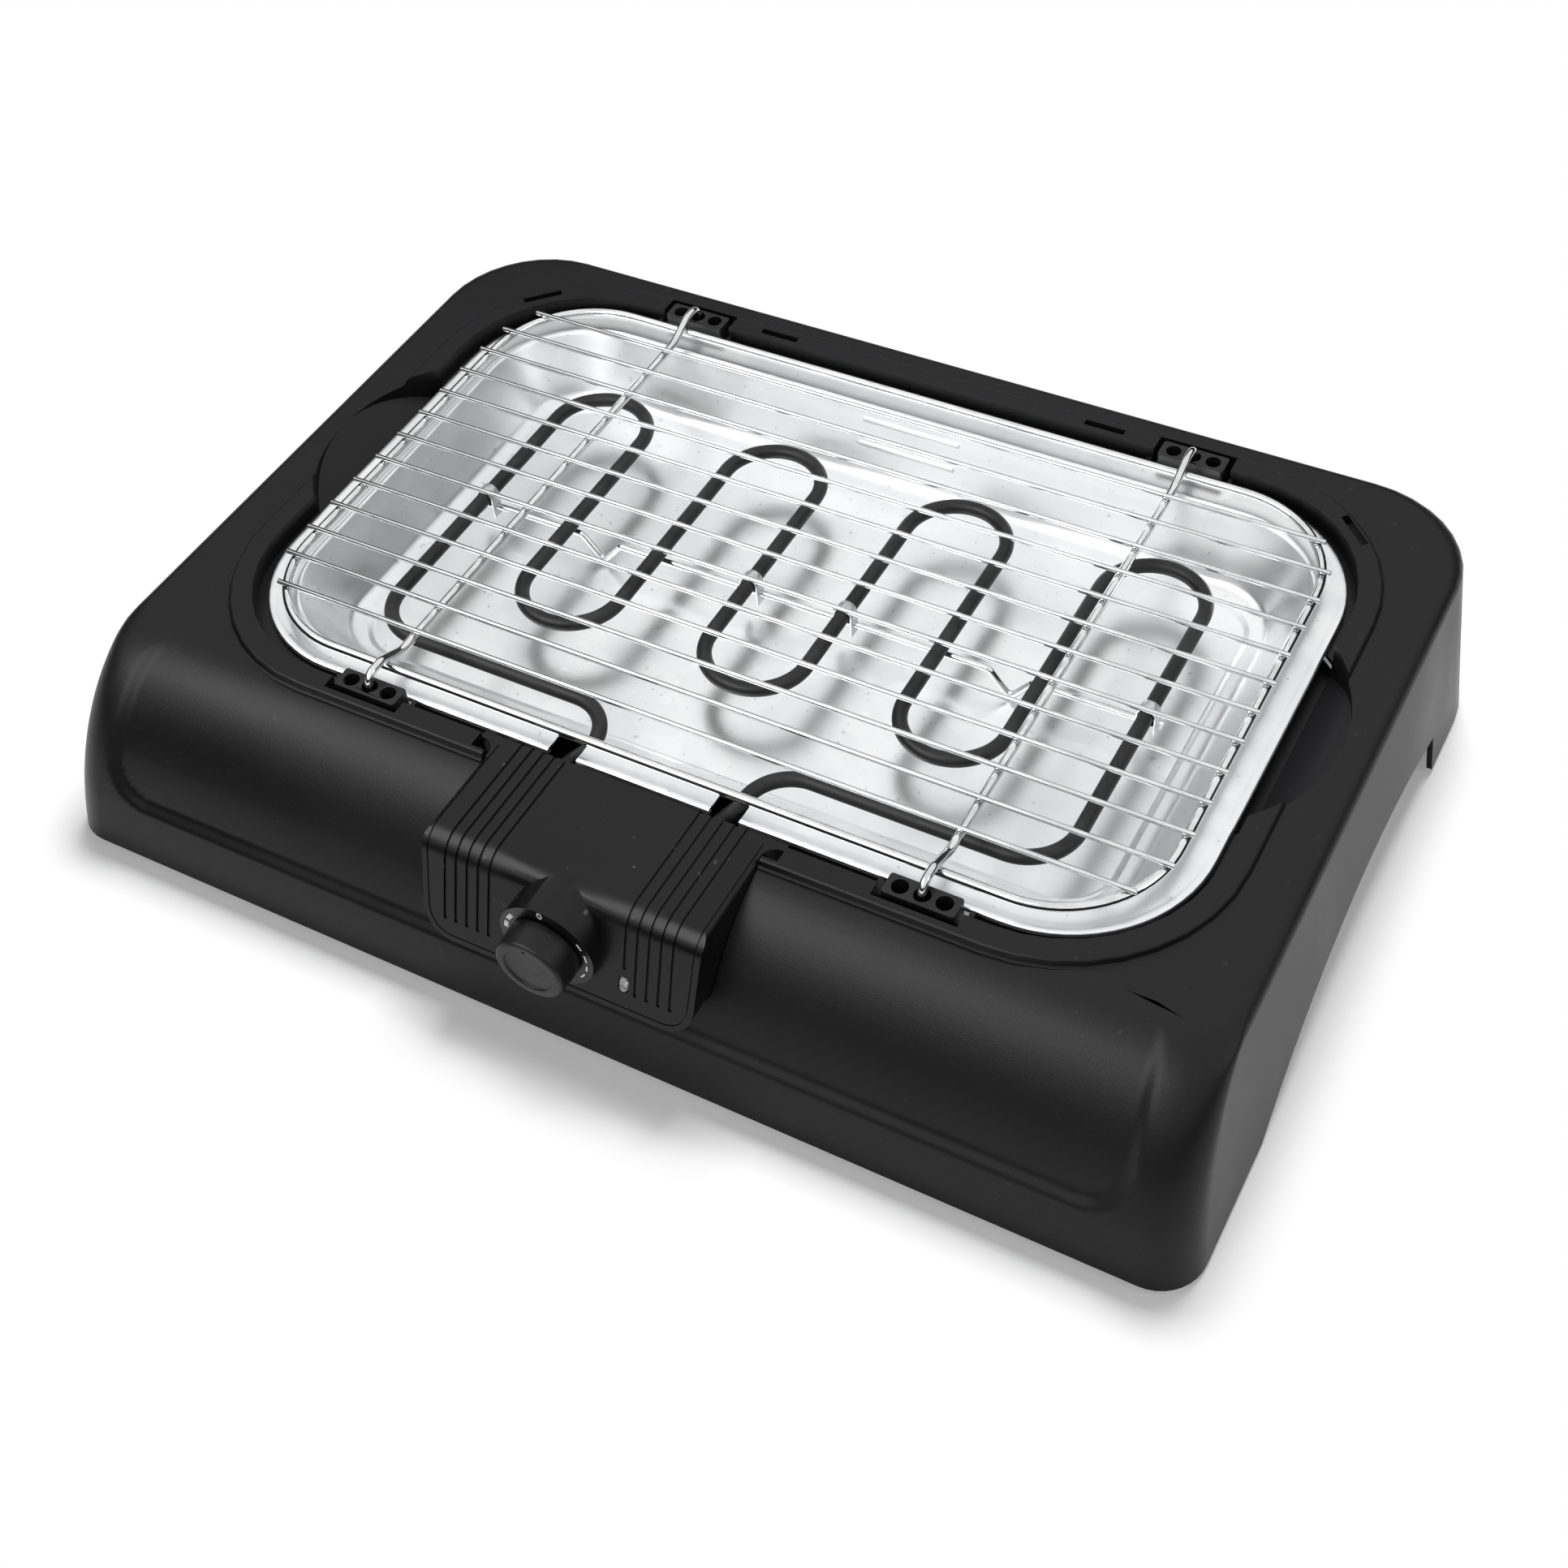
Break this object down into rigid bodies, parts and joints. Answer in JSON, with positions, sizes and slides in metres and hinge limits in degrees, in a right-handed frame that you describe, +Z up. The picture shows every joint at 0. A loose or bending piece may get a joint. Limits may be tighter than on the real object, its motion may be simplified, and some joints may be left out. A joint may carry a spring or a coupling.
{
  "type": "electric table barbecue grill",
  "caption": "Open electric table grill: plastic housing, lift-out drip tray, plug-in heater unit with dial box, and a chromed wire rack in corner blocks.",
  "frame": {"origin": "on the table under the middle of the whole part's bounding box", "axes": "+X to the right seen from the control dial's side, +Y to the rear away from the dial, +Z up"},
  "size_m": [0.522, 0.3744, 0.0942],
  "materials": {
    "housing_plastic": "satin black, fine grain",
    "block_plastic": "satin black",
    "box_plastic": "satin black",
    "knob_plastic": "satin black",
    "foot_rubber": "matt black",
    "gland_rubber": "matt black",
    "tray_steel": "bright galvanised sheet",
    "wire_chrome": "bright chrome plate",
    "heater_tube": "dark heat-blackened steel tube",
    "zinc_steel": "zinc plated",
    "ceramic": "matt off-white",
    "clear_plastic": "clear",
    "lamp_body": "glossy red",
    "lead_sleeve": "woven glass sleeve"
  },
  "bodies": {
    "housing_body": {"housing": "housing_plastic", "rack_block_front_left": "block_plastic", "rack_block_front_right": "block_plastic", "rack_block_rear_left": "block_plastic", "rack_block_rear_right": "block_plastic", "block_screw_front_left": "zinc_steel", "block_screw_front_right": "zinc_steel", "block_screw_rear_left": "zinc_steel", "block_screw_rear_right": "zinc_steel", "foot_front_left": "foot_rubber", "foot_front_right": "foot_rubber", "foot_rear_left": "foot_rubber", "foot_rear_right": "foot_rubber"},
    "drip_tray_body": {"drip_tray": "tray_steel"},
    "heater_unit": {"heating_element": "heater_tube", "element_support_rod": "wire_chrome", "element_strap_1": "zinc_steel", "element_strap_2": "zinc_steel", "element_strap_3": "zinc_steel", "element_strap_4": "zinc_steel", "control_box_cover": "box_plastic", "control_box_base": "box_plastic", "terminal_seal_left": "ceramic", "terminal_seal_right": "ceramic", "thermostat_body": "ceramic", "indicator_lens": "clear_plastic", "indicator_lamp": "lamp_body", "terminal_block": "ceramic", "thermal_cutout": "zinc_steel", "lead_left": "lead_sleeve", "lead_right": "lead_sleeve", "cord_gland": "gland_rubber", "cover_screw_front_left": "zinc_steel", "cover_screw_front_right": "zinc_steel", "cover_screw_rear_left": "zinc_steel", "cover_screw_rear_right": "zinc_steel"},
    "knob_body": {"control_knob": "knob_plastic", "thermostat_shaft": "zinc_steel"},
    "rack_body": {"rack_rim_wire": "wire_chrome", "rack_leg_wire_left": "wire_chrome", "rack_leg_wire_right": "wire_chrome", "rack_cross_wire_01": "wire_chrome", "rack_cross_wire_02": "wire_chrome", "rack_cross_wire_03": "wire_chrome", "rack_cross_wire_04": "wire_chrome", "rack_cross_wire_05": "wire_chrome", "rack_cross_wire_06": "wire_chrome", "rack_cross_wire_07": "wire_chrome", "rack_cross_wire_08": "wire_chrome", "rack_cross_wire_09": "wire_chrome", "rack_cross_wire_10": "wire_chrome", "rack_cross_wire_11": "wire_chrome", "rack_cross_wire_12": "wire_chrome", "rack_cross_wire_13": "wire_chrome"}
  },
  "joints": [
    {"name": "tray_lift", "type": "slide", "parent": "housing_body", "child": "drip_tray_body", "axis": [0, 0, 1], "range_m": [0, 0.12]},
    {"name": "heater_lift", "type": "slide", "parent": "drip_tray_body", "child": "heater_unit", "axis": [0, 0, 1], "range_m": [0, 0.12]},
    {"name": "rack_lift", "type": "slide", "parent": "heater_unit", "child": "rack_body", "axis": [0, 0, 1], "range_m": [0, 0.12]},
    {"name": "knob_turn", "type": "hinge", "parent": "heater_unit", "child": "knob_body", "pos_m": [0, -0.17459, 0.0641], "axis": [0, 1, 0], "range_deg": [0, 290]}
  ]
}
